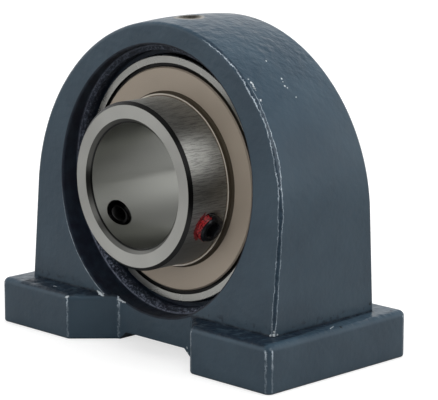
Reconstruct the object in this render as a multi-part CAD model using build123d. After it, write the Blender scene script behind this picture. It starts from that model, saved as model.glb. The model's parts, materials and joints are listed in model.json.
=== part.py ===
"""Tapped-base pillow block bearing.

A one-piece cast housing on two feet carries a self-aligning ball insert in a spherical seat. The insert's
wide inner ring is locked to the shaft by two set screws, 120 degrees apart.

Millimetres. The origin lies on the base plane, midway between the two tapped holes and under the seat's
centre. X runs along the base, Y along the shaft away from the set screws, and Z up.
"""
import math
import os

from build123d import *

# Insert: rings, from the shaft bore outwards
BORE_DIAMETER = 35.0
INNER_WALL = 5.95           # shaft bore to the inner ring's outside
PITCH_RISE = 3.3            # inner ring's outside to the balls' pitch circle
BALL_COUNT = 9
BALL_DIAMETER = 11.1125
BALL_PLAY = 0.015           # running gap between a ball and each raceway
RACE_CONFORMITY = 0.522     # raceway's section radius over the ball's diameter
LAND_RISE = 3.85            # pitch circle to the outer ring's inside face
OUTER_WALL = 3.68           # bottom of the outer raceway to the spherical outside
RING_WIDTH = 20.0
RING_CHAMFER = 0.15
FRONT_REACH = 25.4          # seat centre to the set-screw end of the inner ring
REAR_REACH = 17.5           # seat centre to the plain end of the inner ring
NOSE_CHAMFER = 0.95         # outer edges of the inner ring
BORE_CHAMFER = 1.3          # mouths of the shaft bore

# Insert: cage
CAGE_SHEET = 0.9
CAGE_GAP = 1.1              # room between the cage and each ring
POCKET_PLAY = 0.18
RIVET_DIAMETER = 1.6
RIVET_HEAD_DIAMETER = 2.8
RIVET_HEAD_HEIGHT = 0.5

# Insert: seals and flingers
SEAL_BORE_WALL = 2.15       # outer ring's wall beside each seal, at the ring's face
SEAL_SET_BACK = 1.7         # ring's face to the shield
SEAL_SHEET = 0.7
SEAL_RIM_WIDTH = 1.5        # how far the shield's rim reaches along the seal bore
LIP_HEIGHT = 2.6
LIP_WIDTH = 1.3
LIP_EDGE_WIDTH = 0.65       # lip's width where it runs on the inner ring
LIP_PLAY = 0.04             # running gap under the lip
FLINGER_SHEET = 0.75
FLINGER_PROUD = 0.2         # how far the flinger stands out of the ring's face
FLINGER_GAP = 1.0           # gap round the flinger, inside the outer ring
FLINGER_HUB = 2.4           # length of the flinger's hub on the inner ring
FLINGER_BEND = 0.6          # outside of the bend between hub and face

# Insert: set screws
SCREW_DIAMETER = 8.0
SCREW_LENGTH = 8.0
SCREW_END_DISTANCE = 8.0    # end of the inner ring to the screw's axis
SCREW_SOCKET = 4.0          # across flats
SCREW_SOCKET_DEPTH = 4.0
SCREW_CUP_DIAMETER = 5.0
SCREW_CUP_DEPTH = 1.5
SCREW_POINT_CHAMFER = 0.9   # length of the cone at the cup end
SCREW_TOP_CHAMFER = 0.6
SCREW_SET_BACK = 0.2        # screw's point to the shaft bore
SCREW_PLAY = 0.05           # radial play in the thread
RIGHT_SCREW_ANGLE = 112.5   # from straight up, turning towards +X
SCREW_SPREAD = 120.0        # angle between the two screws

# Lubrication
PORT_OFFSET = 3.1           # grease port's distance in front of the seat's centre
PORT_TAP_DRILL = 5.5
PORT_THREAD_LENGTH = 6.0    # straight wall of the tapped port
PORT_MOUTH_DIAMETER = 7.2
PORT_PASSAGE_DIAMETER = 3.0 # from the tapped port down to the seat
RING_GROOVE_OFFSET = 4.6    # groove round the outer ring, in front of the ring's middle
RING_GROOVE_WIDTH = 3.2
RING_GROOVE_DEPTH = 0.8
RING_HOLE_OFFSET = 5.2
RING_HOLE_DIAMETER = 1.6

# Housing: seat and recesses
SEAT_WIDTH = 16.0
SEAT_PLAY = 0.03
LOADING_MARGIN = 0.3        # radial room for passing the insert through
NOTCH_MARGIN = 0.35         # room beside the insert in each loading notch
RECESS_MARGIN = 1.9         # recess wall outside the insert's sphere
RECESS_FLOOR = 11.4         # seat centre to the inner edge of each recess's floor
RECESS_FLOOR_RISE = 0.7     # how far that floor slopes out to the wall
MOUTH_RADIUS = 0.6          # rounding of each recess's mouth

# Housing: body
AXIS_HEIGHT = 47.6
BODY_WALL = 11.1            # recess wall to the body's side
BODY_FRONT = 17.3           # seat centre to the front face, at the height of the bearing's axis
BODY_REAR = 18.1
FRONT_LEAN = 4.6            # degrees
REAR_LEAN = 3.0
BODY_EDGE_RADIUS = 1.1
CROWN_DROP = 4.15           # centre of the crown's arc below the bearing's axis
CROWN_BARREL_RADIUS = 143.0 # the crown's slight swell along the shaft
CROWN_BARREL_OFFSET = 1.1   # highest line of the crown, behind the seat's centre

# Housing: feet and web
BOLT_SPACING = 80.0
TAP_DRILL = 12.0
THREAD_DIAMETER = 14.0
THREAD_LENGTH = 20.0
DRILL_POINT_ANGLE = 118.0
TAP_MOUTH_MARGIN = 0.5      # countersink's radius outside the thread
FOOT_END_DISTANCE = 14.5    # tapped hole to the foot's outer end
FOOT_INNER_DISTANCE = 14.9  # tapped hole to the foot's inner end
BASE_WIDTH = 55.0
FOOT_HEIGHT = 13.3
FOOT_CORNER_RADIUS = 2.0
FOOT_TOP_RADIUS = 1.8
FOOT_BOTTOM_RADIUS = 0.8
WEB_LENGTH = 29.8           # between the roots of the two feet
WEB_WIDTH = 34.0
WEB_CORNER_RADIUS = 2.4
CHANNEL_HEIGHT = 2.6        # relief under the web
CHANNEL_END_RUN = 3.0       # length of each sloping end of the relief

PRESS_GAP = 0.01            # drawn gap between pieces pressed together

# Sizes that follow
bore_radius = BORE_DIAMETER / 2
inner_radius = bore_radius + INNER_WALL
pitch_radius = inner_radius + PITCH_RISE
ball_radius = BALL_DIAMETER / 2
race_section = RACE_CONFORMITY * BALL_DIAMETER
inner_race_radius = pitch_radius - ball_radius - BALL_PLAY
outer_race_radius = pitch_radius + ball_radius + BALL_PLAY
land_radius = pitch_radius + LAND_RISE
sphere_radius = outer_race_radius + OUTER_WALL
half_ring = RING_WIDTH / 2
ring_face_radius = math.sqrt(sphere_radius ** 2 - half_ring ** 2)
seal_bore_radius = ring_face_radius - SEAL_BORE_WALL
seal_front = -half_ring + SEAL_SET_BACK
seal_back = seal_front + SEAL_SHEET
lip_top_radius = inner_radius + LIP_HEIGHT
cage_inner_radius = inner_radius + CAGE_GAP
cage_outer_radius = land_radius - CAGE_GAP
seat_radius = sphere_radius + SEAT_PLAY
half_seat = SEAT_WIDTH / 2
loading_radius = sphere_radius + LOADING_MARGIN
recess_radius = sphere_radius + RECESS_MARGIN
half_body_width = recess_radius + BODY_WALL
crown_centre_height = AXIS_HEIGHT - CROWN_DROP
crown_height = crown_centre_height + half_body_width
half_base_length = BOLT_SPACING / 2 + FOOT_END_DISTANCE
foot_inner_x = BOLT_SPACING / 2 - FOOT_INNER_DISTANCE
half_base_width = BASE_WIDTH / 2
half_web_length = WEB_LENGTH / 2
half_web_width = WEB_WIDTH / 2
beyond = 2 * half_base_length   # clear of everything, for cutting tools
screw_radius = SCREW_DIAMETER / 2
screw_y = SCREW_END_DISTANCE - FRONT_REACH

seat_centre = Pos(0, 0, AXIS_HEIGHT)
along_shaft = Rot(-90, 0, 0)    # turns a solid that points up to point along +Y
rising = (Align.CENTER, Align.CENTER, Align.MIN)


def turned(*points):
    """Solid of revolution about the Y axis, from (radius, y) points."""
    return revolve(make_face(Polyline(*points, close=True)), Axis.Y)


def tube(inner, outer, y_low, y_high):
    return turned((inner, y_low), (outer, y_low), (outer, y_high), (inner, y_high))


def disc(radius, y_low, y_high):
    middle = (y_low + y_high) / 2
    return Pos(0, middle, 0) * along_shaft * Cylinder(radius, y_high - y_low)


def rear_of(front):
    """The same piece at the other end of the insert."""
    return mirror(front, about=Plane.XZ)


def body_front_y(height):
    """Where the housing's leaning front face is, at a height above the base."""
    return (height - AXIS_HEIGHT) * math.tan(math.radians(FRONT_LEAN)) - BODY_FRONT


def body_rear_y(height):
    return BODY_REAR - (height - AXIS_HEIGHT) * math.tan(math.radians(REAR_LEAN))


def base_outline():
    """Plan of both feet and the web, with its corners rounded."""
    quarter = [(half_base_length, half_base_width), (foot_inner_x, half_base_width),
               (half_web_length, half_web_width)]
    rear_edge = quarter + [(-x, y) for x, y in reversed(quarter)]
    front_edge = [(x, -y) for x, y in reversed(rear_edge)]
    outline = make_face(Polyline(*rear_edge, *front_edge, close=True))

    def is_root(vertex):
        return math.isclose(abs(vertex.X), half_web_length, abs_tol=PRESS_GAP)

    def is_foot_corner(vertex):
        return math.isclose(abs(vertex.Y), half_base_width, abs_tol=PRESS_GAP)

    outline = fillet(outline.vertices().filter_by(is_root), WEB_CORNER_RADIUS)
    return fillet(outline.vertices().filter_by(is_foot_corner), FOOT_CORNER_RADIUS)


def make_base():
    """Both feet and the web between them, with the relief under the web."""
    plain = extrude(base_outline(), FOOT_HEIGHT)
    rounded = fillet(plain.faces().sort_by(Axis.Z)[-1].edges(), FOOT_TOP_RADIUS)
    rounded = fillet(rounded.faces().sort_by(Axis.Z)[0].edges(), FOOT_BOTTOM_RADIUS)
    # Under the body the top edges stay square, so that no groove is left where the body stands.
    front, rear = body_front_y(FOOT_HEIGHT), body_rear_y(FOOT_HEIGHT)
    under_body = Pos(0, (front + rear) / 2, FOOT_HEIGHT) * Box(
        2 * half_body_width, rear - front, 2 * FOOT_TOP_RADIUS)
    base = rounded + (plain & under_body)
    low, high = half_web_length, half_web_length - CHANNEL_END_RUN
    relief = make_face(Polyline(
        (-low, 0), (low, 0), (high, CHANNEL_HEIGHT), (-high, CHANNEL_HEIGHT), close=True))
    return base - extrude(Plane.XZ * relief, beyond, both=True)


def tapped_hole():
    """Cutting tool for one foot's hole: countersink, tap drill and drill point."""
    drill = TAP_DRILL / 2
    mouth = THREAD_DIAMETER / 2 + TAP_MOUTH_MARGIN
    point = drill / math.tan(math.radians(DRILL_POINT_ANGLE / 2))
    profile = make_face(Polyline(
        (0, 0), (mouth, 0), (drill, mouth - drill), (drill, THREAD_LENGTH),
        (0, THREAD_LENGTH + point), close=True))
    return revolve(Plane.XZ * profile, Axis.Z)


def seat_cut():
    """Everything removed from the casting round the insert."""
    recess = turned((0, -beyond), (recess_radius, -beyond),
                    (recess_radius, -RECESS_FLOOR - RECESS_FLOOR_RISE),
                    (loading_radius, -RECESS_FLOOR), (loading_radius, -half_seat), (0, -half_seat))
    seat = along_shaft * Sphere(seat_radius) & disc(loading_radius, -half_seat, half_seat)
    notch_height = RING_WIDTH + 2 * NOTCH_MARGIN
    notches = disc(loading_radius, 0, half_seat) & Box(beyond, beyond, notch_height)
    return recess + rear_of(recess) + seat + notches


def make_body():
    """Arched body: leaning front and rear faces, a slightly barrelled crown and rounded edges.

    It is rounded as one block that reaches below the base, so that each recess's mouth is a whole ring,
    and then cut off level with the top of the feet.
    """
    arch = Pos(0, crown_centre_height) * Circle(half_body_width)
    arch += Pos(0, -BODY_WALL) * Rectangle(
        2 * half_body_width, crown_centre_height + BODY_WALL, align=(Align.CENTER, Align.MIN))
    barrel_axis = Axis((0, CROWN_BARREL_OFFSET, crown_height - CROWN_BARREL_RADIUS), (1, 0, 0))
    body = revolve(Plane.XZ.offset(-CROWN_BARREL_OFFSET) * arch, barrel_axis)
    side_view = make_face(Polyline(
        (body_front_y(-beyond), -beyond), (body_rear_y(-beyond), -beyond),
        (body_rear_y(beyond), beyond), (body_front_y(beyond), beyond), close=True))
    body &= extrude(Plane.YZ * side_view, beyond, both=True)
    ends = body.faces().filter_by(GeomType.PLANE).filter_by(lambda face: abs(face.normal_at().Y) > 0.5)
    body = fillet(ends.edges().filter_by(lambda edge: edge.center().Z > 0), BODY_EDGE_RADIUS)
    body -= seat_centre * seat_cut()
    body = fillet(body.edges().filter_by(is_mouth), MOUTH_RADIUS)
    return body & Pos(0, 0, FOOT_HEIGHT) * Box(beyond, beyond, beyond, align=rising)


def is_mouth(edge):
    """Whether an edge is where a recess opens through the body's front or rear face."""
    middle = edge @ 0.5
    on_wall = math.isclose(math.hypot(middle.X, middle.Z - AXIS_HEIGHT), recess_radius, abs_tol=PRESS_GAP)
    return on_wall and edge.length > recess_radius


def grease_port():
    """Cutting tool for the tapped port in the crown and the passage from it down to the seat."""
    drill, mouth, passage = PORT_TAP_DRILL / 2, PORT_MOUTH_DIAMETER / 2, PORT_PASSAGE_DIAMETER / 2
    thread_top = crown_height - (mouth - drill)
    thread_end = thread_top - PORT_THREAD_LENGTH
    step_end = thread_end - (drill - passage) / math.tan(math.radians(DRILL_POINT_ANGLE / 2))
    profile = make_face(Polyline(
        (0, AXIS_HEIGHT), (passage, AXIS_HEIGHT), (passage, step_end), (drill, thread_end),
        (drill, thread_top), (mouth, crown_height), (mouth, beyond), (0, beyond), close=True))
    return Pos(0, -PORT_OFFSET, 0) * revolve(Plane.XZ * profile, Axis.Z)


def make_housing():
    casting = make_body() + (make_base() - seat_centre * seat_cut())
    casting -= grease_port()
    for x in (-BOLT_SPACING / 2, BOLT_SPACING / 2):
        casting -= Pos(x, 0, 0) * tapped_hole()
    return casting.fix()


def make_outer_ring():
    """Hardened ring: spherical outside, ball groove, seal bores, and a grease groove with two holes."""
    corner = ring_face_radius - RING_CHAMFER
    chamfer_end = half_ring - (sphere_radius - corner)
    ring = turned((land_radius, -half_ring), (corner, -half_ring), (sphere_radius, -chamfer_end),
                  (sphere_radius, chamfer_end), (corner, half_ring), (land_radius, half_ring))
    ring &= along_shaft * Sphere(sphere_radius)
    ring -= along_shaft * Torus(outer_race_radius - race_section, race_section)
    seal_bore = disc(seal_bore_radius, -beyond, seal_back)
    ring -= seal_bore + rear_of(seal_bore)
    groove_front = -RING_GROOVE_OFFSET - RING_GROOVE_WIDTH / 2
    groove_floor = math.sqrt(sphere_radius ** 2 - RING_GROOVE_OFFSET ** 2) - RING_GROOVE_DEPTH
    ring -= tube(groove_floor, sphere_radius, groove_front, groove_front + RING_GROOVE_WIDTH)
    ring -= Pos(0, -RING_HOLE_OFFSET, 0) * Cylinder(RING_HOLE_DIAMETER / 2, beyond)
    return seat_centre * ring


def screw_angles():
    return RIGHT_SCREW_ANGLE, RIGHT_SCREW_ANGLE + SCREW_SPREAD


def screw_place(angle):
    """A place on the bearing's axis whose +Z points out along a set screw."""
    return Pos(0, screw_y, 0) * Rot(0, angle, 0)


def make_inner_ring():
    """Wide ring with the shaft bore, the ball groove and a tapped hole for each set screw."""
    nose = inner_radius - NOSE_CHAMFER
    mouth = bore_radius + BORE_CHAMFER
    ring = turned((bore_radius, BORE_CHAMFER - FRONT_REACH), (mouth, -FRONT_REACH),
                  (nose, -FRONT_REACH), (inner_radius, NOSE_CHAMFER - FRONT_REACH),
                  (inner_radius, REAR_REACH - NOSE_CHAMFER), (nose, REAR_REACH),
                  (mouth, REAR_REACH), (bore_radius, REAR_REACH - BORE_CHAMFER))
    ring -= along_shaft * Torus(inner_race_radius + race_section, race_section)
    for angle in screw_angles():
        ring -= screw_place(angle) * Cylinder(screw_radius + SCREW_PLAY, beyond, align=rising)
    return seat_centre * ring


def make_set_screw(angle):
    """Cup-point hex-socket screw, its point just clear of the shaft bore."""
    point = bore_radius + SCREW_SET_BACK
    top = point + SCREW_LENGTH
    profile = make_face(Polyline(
        (0, point + SCREW_CUP_DEPTH), (SCREW_CUP_DIAMETER / 2, point),
        (screw_radius, point + SCREW_POINT_CHAMFER), (screw_radius, top - SCREW_TOP_CHAMFER),
        (screw_radius - SCREW_TOP_CHAMFER, top), (0, top), close=True))
    screw = revolve(Plane.XZ * profile, Axis.Z)
    socket = extrude(RegularPolygon(SCREW_SOCKET / 2, 6, major_radius=False), SCREW_SOCKET_DEPTH)
    screw -= Pos(0, 0, top - SCREW_SOCKET_DEPTH) * socket
    return seat_centre * screw_place(angle) * screw


def make_flinger():
    """Front flinger: a face that shields the seal, and a hub pressed on the inner ring."""
    bore = inner_radius + PRESS_GAP
    hub = bore + FLINGER_SHEET
    rim = seal_bore_radius - FLINGER_GAP
    face = -half_ring - FLINGER_PROUD
    back = face + FLINGER_SHEET
    rim_end = back + FLINGER_SHEET
    hub_end = back - FLINGER_HUB
    return seat_centre * turned(
        (bore, hub_end), (hub, hub_end), (hub, face - FLINGER_BEND), (hub + FLINGER_BEND, face),
        (rim - FLINGER_SHEET / 2, face), (rim, face + FLINGER_SHEET / 2), (rim, rim_end),
        (rim - FLINGER_SHEET, rim_end), (rim - FLINGER_SHEET, back), (bore, back))


def make_seal_case():
    """Front shield, held by its rim in the outer ring's seal bore."""
    rim = seal_bore_radius - PRESS_GAP
    rim_front = seal_back - SEAL_RIM_WIDTH
    return seat_centre * turned(
        (lip_top_radius, seal_front), (rim - SEAL_SHEET, seal_front),
        (rim - SEAL_SHEET, rim_front), (rim, rim_front), (rim, seal_back),
        (lip_top_radius, seal_back))


def make_seal_lip():
    """Front rubber lip, bonded to the shield's inner edge and running on the inner ring."""
    middle = (seal_front + seal_back) / 2
    edge = inner_radius + LIP_PLAY
    shoulder = edge + (LIP_WIDTH - LIP_EDGE_WIDTH) / 2
    half, half_edge = LIP_WIDTH / 2, LIP_EDGE_WIDTH / 2
    return seat_centre * turned(
        (edge, middle - half_edge), (shoulder, middle - half), (lip_top_radius, middle - half),
        (lip_top_radius, middle + half), (shoulder, middle + half), (edge, middle + half_edge))


def on_pitch_circle(first):
    """Places round the pitch circle, one for each ball; first is a share of a step past straight up."""
    step = 360 / BALL_COUNT
    return [Rot(0, (number + first) * step, 0) * Pos(0, 0, pitch_radius)
            for number in range(BALL_COUNT)]


def rivet_places():
    return [place * along_shaft for place in on_pitch_circle(0.5)]


def make_cage_half():
    """Front ribbon: a flat band with half a pocket pressed out round each ball."""
    pocket = ball_radius + POCKET_PLAY
    band = tube(cage_inner_radius, cage_outer_radius, -CAGE_SHEET, 0)
    room = tube(cage_inner_radius, cage_outer_radius, -pocket - CAGE_SHEET, 0)
    for place in on_pitch_circle(0):
        band += (place * Sphere(pocket + CAGE_SHEET)) & room
    for place in on_pitch_circle(0):
        band -= place * Sphere(pocket)
    for place in rivet_places():
        band -= place * Cylinder(RIVET_DIAMETER / 2 + PRESS_GAP, beyond)
    return seat_centre * band


def make_rivets():
    """One rivet midway between each two balls, headed on both sides of the cage."""
    shank = Cylinder(RIVET_DIAMETER / 2, 2 * CAGE_SHEET)
    head = Cylinder(RIVET_HEAD_DIAMETER / 2, RIVET_HEAD_HEIGHT, align=rising)
    rivet = shank + Pos(0, 0, CAGE_SHEET) * head + mirror(Pos(0, 0, CAGE_SHEET) * head, about=Plane.XY)
    return Compound(children=[seat_centre * place * rivet for place in rivet_places()])


def make_parts():
    """Every piece by its node name."""
    flinger, seal_case, seal_lip, cage_half = (
        make_flinger(), make_seal_case(), make_seal_lip(), make_cage_half())
    right_angle, left_angle = screw_angles()
    parts = {
        "housing": make_housing(),
        "outer_ring": make_outer_ring(),
        "inner_ring": make_inner_ring(),
        "flinger_front": flinger,
        "flinger_rear": rear_of(flinger),
        "seal_case_front": seal_case,
        "seal_case_rear": rear_of(seal_case),
        "seal_lip_front": seal_lip,
        "seal_lip_rear": rear_of(seal_lip),
        "set_screw_right": make_set_screw(right_angle),
        "set_screw_left": make_set_screw(left_angle),
        "cage_front": cage_half,
        "cage_rear": rear_of(cage_half),
        "cage_rivets": make_rivets(),
    }
    for number, place in enumerate(on_pitch_circle(0), start=1):
        parts[f"ball_{number}"] = seat_centre * place * Sphere(ball_radius)
    return parts


os.makedirs("parts", exist_ok=True)
for name, solid in make_parts().items():
    export_step(solid, os.path.join("parts", name + ".step"))
    print(f"{name:18s} {len(solid.solids())} solids, {solid.volume / 1000:8.3f} cm3")
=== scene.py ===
"""Tapped-base pillow block bearing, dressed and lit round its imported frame.

Metres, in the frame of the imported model: X along the base, Y along the shaft away from the set screws, Z up.
The sections follow the bearing as it is put together: housing, insert, set screws, and then the studio.
"""
import json
import math

import bpy
from mathutils import Matrix, Vector


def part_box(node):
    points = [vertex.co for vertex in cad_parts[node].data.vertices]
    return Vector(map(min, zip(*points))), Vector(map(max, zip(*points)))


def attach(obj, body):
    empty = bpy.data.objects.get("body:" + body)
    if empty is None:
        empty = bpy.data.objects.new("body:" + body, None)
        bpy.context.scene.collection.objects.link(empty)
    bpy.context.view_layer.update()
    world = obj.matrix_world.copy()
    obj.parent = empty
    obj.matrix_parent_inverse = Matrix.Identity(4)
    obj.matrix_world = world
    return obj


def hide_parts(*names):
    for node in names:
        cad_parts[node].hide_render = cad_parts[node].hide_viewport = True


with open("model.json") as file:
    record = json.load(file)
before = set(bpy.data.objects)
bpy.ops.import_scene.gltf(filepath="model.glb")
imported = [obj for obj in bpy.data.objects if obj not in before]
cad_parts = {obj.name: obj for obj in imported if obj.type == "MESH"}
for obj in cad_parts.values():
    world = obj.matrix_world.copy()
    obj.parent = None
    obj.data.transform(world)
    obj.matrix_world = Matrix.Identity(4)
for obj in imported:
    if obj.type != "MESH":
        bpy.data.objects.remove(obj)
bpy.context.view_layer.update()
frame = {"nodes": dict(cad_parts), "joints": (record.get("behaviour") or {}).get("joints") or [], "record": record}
bpy.ops.object.select_all(action="DESELECT")


# ---- Housing ----
# One grey-iron casting: two feet, a web and an arched body round the insert's seat. It is shot-blasted,
# sprayed with a slate enamel, and machined bare at the seat, base and holes. The enamel's colour also holds
# painted highlights and painted shade.
MM = 0.001
BODY_HALF_WIDTH = 49.0 * MM
BODY_FRONT = 17.3 * MM
BODY_REAR = 18.1 * MM
FRONT_LEAN = math.radians(4.6)
REAR_LEAN = math.radians(3.0)
EDGE_RADIUS = 1.1 * MM
FOOT_HEIGHT = 13.3 * MM
FOOT_SOFTNESS = MM / 5
RIGHT_HALF = (14 * MM, 16 * MM)
BARE_SEAT_WIDTH = 15.6 * MM
RECESS_RADIUS = 37.9 * MM
RECESS_MARGIN = 2.6 * MM
RECESS_SOFTNESS = MM / 4
# Nearly all of a noise's shades lie between these two
MOST_SHADES = (0.3, 0.7)

shaft_mount, bolts_mount, _, port_mount = frame["record"]["mounts"]
axis_height = shaft_mount["pos_m"][2]
bolt_spacing = bolts_mount["dims"]["spacing_x_mm"] * MM
bolt_hole_radius = bolts_mount["dims"]["hole_r_mm"] * MM
port_radius = port_mount["dims"]["r_mm"] * MM
port_length = port_mount["dims"]["length_mm"] * MM
port_x, port_y, port_z = port_mount["pos_m"]


def box_radius(node):
    """Half the width of a round piece."""
    low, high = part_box(node)
    return (high.x - low.x) / 2


def new_material(name):
    """An empty node material: its tree and its Principled shader's inputs."""
    material = bpy.data.materials.new(name)
    material.use_nodes = True
    return material, material.node_tree, material.node_tree.nodes["Principled BSDF"].inputs


def join(tree, socket, value):
    """A node's input takes another node's output, or a fixed value."""
    if isinstance(value, bpy.types.NodeSocket):
        tree.links.new(value, socket)
    else:
        socket.default_value = value


def add_node(tree, kind, inputs, **settings):
    """A new node's outputs, once its settings are made and its inputs joined."""
    made = tree.nodes.new(kind)
    for name, value in settings.items():
        setattr(made, name, value)
    for key, value in inputs.items():
        join(tree, made.inputs[key], value)
    return made.outputs


def calculate(tree, operation, *operands):
    return add_node(tree, "ShaderNodeMath", dict(enumerate(operands)), operation=operation)[0]


def add(tree, *values):
    total = values[0]
    for value in values[1:]:
        total = calculate(tree, "ADD", total, value)
    return total


def multiply(tree, *values):
    product = values[0]
    for value in values[1:]:
        product = calculate(tree, "MULTIPLY", product, value)
    return product


def coordinates(tree, centre=(0, 0, 0), scale=(1, 1, 1)):
    """Places on the piece, in metres from a centre, stretched by a scale."""
    place = add_node(tree, "ShaderNodeTexCoord", {})["Object"]
    moved = add_node(tree, "ShaderNodeVectorMath", {0: place, 1: centre}, operation="SUBTRACT")[0]
    return add_node(tree, "ShaderNodeVectorMath", {0: moved, 1: scale}, operation="MULTIPLY")[0]


def components(tree, vector):
    return add_node(tree, "ShaderNodeSeparateXYZ", {0: vector})


def facings(tree):
    """How far the surface looks along X, Y and Z, each from -1 to 1."""
    return components(tree, add_node(tree, "ShaderNodeTexCoord", {})["Normal"])


def length(tree, vector):
    return add_node(tree, "ShaderNodeVectorMath", {0: vector}, operation="LENGTH")["Value"]


def shaft_distance(tree):
    """Distance from the shaft's axis."""
    return length(tree, coordinates(tree, (0, 0, axis_height), (1, 0, 1)))


def noise(tree, place, size, detail=3.0, roughness=0.5):
    """Soft random shades from 0 to 1, in spots of about a size in metres."""
    inputs = {"Vector": place, "Scale": 1 / size, "Detail": detail, "Roughness": roughness}
    return add_node(tree, "ShaderNodeTexNoise", inputs)[0]


def sway(tree, shades, reach):
    """Turns shades from 0 to 1 into lengths up to half a reach either way."""
    return multiply(tree, calculate(tree, "SUBTRACT", shades, 0.5), reach)


def ramp(tree, value, low, high, bottom=0.0, top=1.0):
    """Runs smoothly from bottom to top as a value goes from low to high."""
    inputs = {"Value": value, "From Min": low, "From Max": high, "To Min": bottom, "To Max": top}
    return add_node(tree, "ShaderNodeMapRange", inputs, interpolation_type="SMOOTHSTEP")[0]


def ramp_from(tree, value, start, reaches):
    """Runs smoothly from 0 to 1 between two reaches beyond a start."""
    near, far = reaches
    return ramp(tree, value, start + near, start + far)


def band(tree, value, low, high, soft):
    """1 between low and high, and 0 beyond them."""
    return multiply(tree, ramp(tree, value, low - soft, low + soft),
                    ramp(tree, value, high + soft, high - soft))


def any_of(tree, *masks):
    share = masks[0]
    for mask in masks[1:]:
        share = calculate(tree, "MAXIMUM", share, mask)
    return share


def blend_colours(tree, share, first, second):
    return add_node(tree, "ShaderNodeMix", {0: share, 6: first, 7: second}, data_type="RGBA")[2]


def coat(tree, colour, *coats):
    """Lays coats over a colour, each a share and a shade."""
    for share, shade in coats:
        colour = blend_colours(tree, share, colour, shade)
    return colour


def relief(tree, *layers):
    """Bumps over bumps, each layer a height, a depth in metres and a strength."""
    normal = None
    for height, depth, strength in layers:
        inputs = {"Height": height, "Distance": depth, "Strength": strength}
        if normal:
            inputs["Normal"] = normal
        normal = add_node(tree, "ShaderNodeBump", inputs)[0]
    return normal


def dress(node, material):
    for material_slot in frame["nodes"][node].material_slots:
        material_slot.material = material


enamel, tree, finish = new_material("cast_enamel")
seat_radius = box_radius("outer_ring")

# Places on the casting, how far they lie from the shaft's axis and middle plane, and which way they face
from_base = coordinates(tree)
side_x, side_y, height = components(tree, from_base)
radius = shaft_distance(tree)
depth = calculate(tree, "ABSOLUTE", side_y)
facing = facings(tree)
across, along, upward = [calculate(tree, "ABSOLUTE", part) for part in facing]
recess_edge = seat_radius + RECESS_MARGIN
in_recess = multiply(
    tree, ramp(tree, radius, recess_edge, recess_edge - RECESS_SOFTNESS),
    ramp(tree, depth, BARE_SEAT_WIDTH / 2, BARE_SEAT_WIDTH / 2 + RECESS_SOFTNESS))
on_body = ramp(tree, height, FOOT_HEIGHT, FOOT_HEIGHT + FOOT_SOFTNESS)
on_right = ramp(tree, side_x, *RIGHT_HALF)

# How far in a place lies from the arch's outline and from the leaning front and rear
crown_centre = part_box("housing")[1].z - BODY_HALF_WIDTH
above_centre = calculate(tree, "MAXIMUM", calculate(tree, "SUBTRACT", height, crown_centre), 0)
arch_radius = length(tree, add_node(tree, "ShaderNodeCombineXYZ", {0: side_x, 1: above_centre})[0])
from_arch = calculate(tree, "SUBTRACT", BODY_HALF_WIDTH, arch_radius)
below_axis = calculate(tree, "SUBTRACT", axis_height, height)
from_front = add(tree, side_y, BODY_FRONT, multiply(tree, below_axis, math.tan(FRONT_LEAN)))
from_rear = add(
    tree, calculate(tree, "SUBTRACT", BODY_REAR, side_y), multiply(tree, below_axis, math.tan(REAR_LEAN)))

# Painted highlights where the rounding between the front and the arch begins and ends, in broken wandering
# lines, with a painted dark reflection on the rounding between them. Lower down the lines close in on the edge
# and are fainter.
EDGE_HIGHLIGHT = (0.52, 0.60, 0.67, 1)
PAINTED_DARK = (0.010, 0.021, 0.036, 1)
LINE_WIDTH = 0.20 * MM
LINE_SOFTNESS = LINE_WIDTH / 4
LINE_DRIFT = 8 * MM
LINE_DRIFT_REACH = 1.1 * MM
LINE_JAGS = 1.1 * MM
LINE_JAG_REACH = 1.2 * MM
LINE_NEARNESS = (0.7 * MM, 0.5 * MM)
LINE_INSET = 0.34 * MM
LINE_INSET_HEIGHTS = (20 * MM, 72 * MM)
LINE_FADE_HEIGHTS = (40 * MM, 60 * MM)
LINE_LOW_STRENGTH = 0.55
FRONT_LINE_TOP = 88.9 * MM
SIDE_LINE_TOP = 79.0 * MM
EDGE_REFLECTION_WIDTHS = (EDGE_RADIUS, EDGE_RADIUS * 0.8)
EDGE_REFLECTION_NOISE = (0.35, 0.60)
EDGE_REFLECTION_SHARES = (0.9, 0.3)

jags = noise(tree, from_base, LINE_JAGS, detail=4.0, roughness=0.7)
drift = noise(tree, from_base, LINE_DRIFT, detail=2.0)
wander = add(tree, sway(tree, drift, LINE_DRIFT_REACH), sway(tree, jags, LINE_JAG_REACH))
line_inset = ramp(tree, height, *LINE_INSET_HEIGHTS, LINE_INSET, 0.0)
line_places = (
    # across which distance, near which surface, and up to what height
    (from_arch, from_front, FRONT_LINE_TOP),
    (from_front, from_arch, SIDE_LINE_TOP),
)
edge_lines = 0.0
for across_distance, near_distance, line_top in line_places:
    line_distance = add(tree, across_distance, line_inset, wander)
    edge_lines = any_of(tree, edge_lines, multiply(
        tree,
        band(tree, line_distance, EDGE_RADIUS - LINE_WIDTH / 2, EDGE_RADIUS + LINE_WIDTH / 2, LINE_SOFTNESS),
        ramp(tree, near_distance, *LINE_NEARNESS), ramp(tree, height, line_top, line_top - MM),
        on_body, on_right))
edge_lines = multiply(tree, edge_lines, ramp(tree, height, *LINE_FADE_HEIGHTS, LINE_LOW_STRENGTH, 1.0))
# Painted dark reflection on the edge's rounding, between the two painted highlight lines
edge_dark_reflection = multiply(
    tree, on_body, on_right, ramp(tree, add(tree, from_arch, line_inset), *EDGE_REFLECTION_WIDTHS),
    ramp(tree, add(tree, from_front, line_inset), *EDGE_REFLECTION_WIDTHS),
    ramp(tree, jags, *EDGE_REFLECTION_NOISE, *EDGE_REFLECTION_SHARES))
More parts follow.
